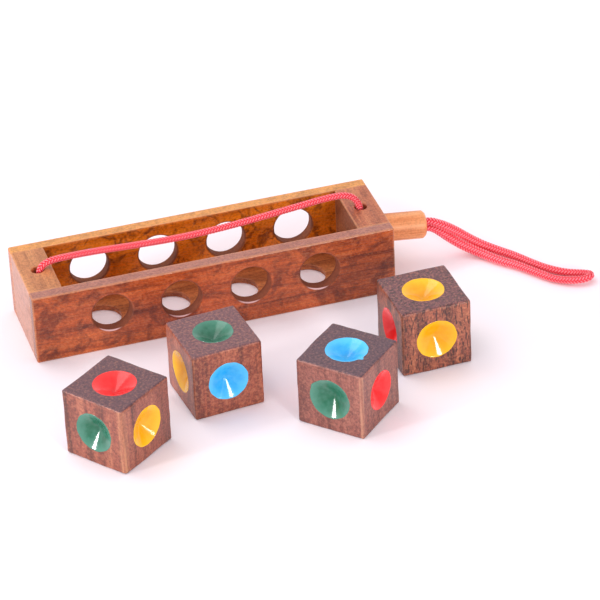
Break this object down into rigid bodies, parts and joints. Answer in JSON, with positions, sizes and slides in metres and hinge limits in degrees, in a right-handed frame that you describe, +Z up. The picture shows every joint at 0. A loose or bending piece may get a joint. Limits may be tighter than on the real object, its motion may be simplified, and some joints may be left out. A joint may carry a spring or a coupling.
{
  "type": "four cube colour matching puzzle",
  "caption": "Wooden stacking puzzle: cubes with painted round dimples, and a windowed tray rack with end holes, a looped red cord and a dowel toggle that locks the cord.",
  "frame": {"origin": "middle of the rack's underside, on the table", "axes": "+X along the rack to the end with the toggle, +Y to the rear, away from the cubes set out in front, +Z up"},
  "size_m": [0.2414, 0.1433, 0.0402],
  "materials": {
    "rack_board_wood": "lacquered, worn",
    "end_block_wood": "lacquered, worn",
    "cube_wood": "lacquered, worn edges",
    "toggle_wood": "satin",
    "cord_braid": "braided",
    "red_enamel": "gloss enamel",
    "yellow_enamel": "gloss enamel",
    "green_enamel": "gloss enamel",
    "blue_enamel": "gloss enamel"
  },
  "bodies": {
    "rack": {"front_board": "rack_board_wood", "rear_board": "rack_board_wood", "floor_board": "rack_board_wood", "left_end_block": "end_block_wood", "right_end_block": "end_block_wood", "cord": "cord_braid", "left_knot": "cord_braid", "right_knot": "cord_braid"},
    "toggle": {"toggle": "toggle_wood"},
    "cube_a": {"cube_a": "cube_wood", "cube_a_blue_paint": "blue_enamel", "cube_a_green_paint": "green_enamel", "cube_a_red_paint": "red_enamel", "cube_a_yellow_paint": "yellow_enamel"},
    "cube_b": {"cube_b": "cube_wood", "cube_b_blue_paint": "blue_enamel", "cube_b_green_paint": "green_enamel", "cube_b_red_paint": "red_enamel", "cube_b_yellow_paint": "yellow_enamel"},
    "cube_c": {"cube_c": "cube_wood", "cube_c_blue_paint": "blue_enamel", "cube_c_green_paint": "green_enamel", "cube_c_red_paint": "red_enamel", "cube_c_yellow_paint": "yellow_enamel"},
    "cube_d": {"cube_d": "cube_wood", "cube_d_blue_paint": "blue_enamel", "cube_d_green_paint": "green_enamel", "cube_d_red_paint": "red_enamel", "cube_d_yellow_paint": "yellow_enamel"}
  },
  "joints": [
    {"name": "toggle_slide", "type": "slide", "parent": "rack", "child": "toggle", "axis": [0.9933, -0.0991, -0.0593], "range_m": [0, 0.012], "deforming": ["cord"]},
    {"name": "cube_a_lift", "type": "slide", "parent": "rack", "child": "cube_a", "axis": [0, 0, 1], "range_m": [0, 0.06]},
    {"name": "cube_b_lift", "type": "slide", "parent": "rack", "child": "cube_b", "axis": [0, 0, 1], "range_m": [0, 0.06]},
    {"name": "cube_c_lift", "type": "slide", "parent": "rack", "child": "cube_c", "axis": [0, 0, 1], "range_m": [0, 0.06]},
    {"name": "cube_d_lift", "type": "slide", "parent": "rack", "child": "cube_d", "axis": [0, 0, 1], "range_m": [0, 0.06]}
  ]
}
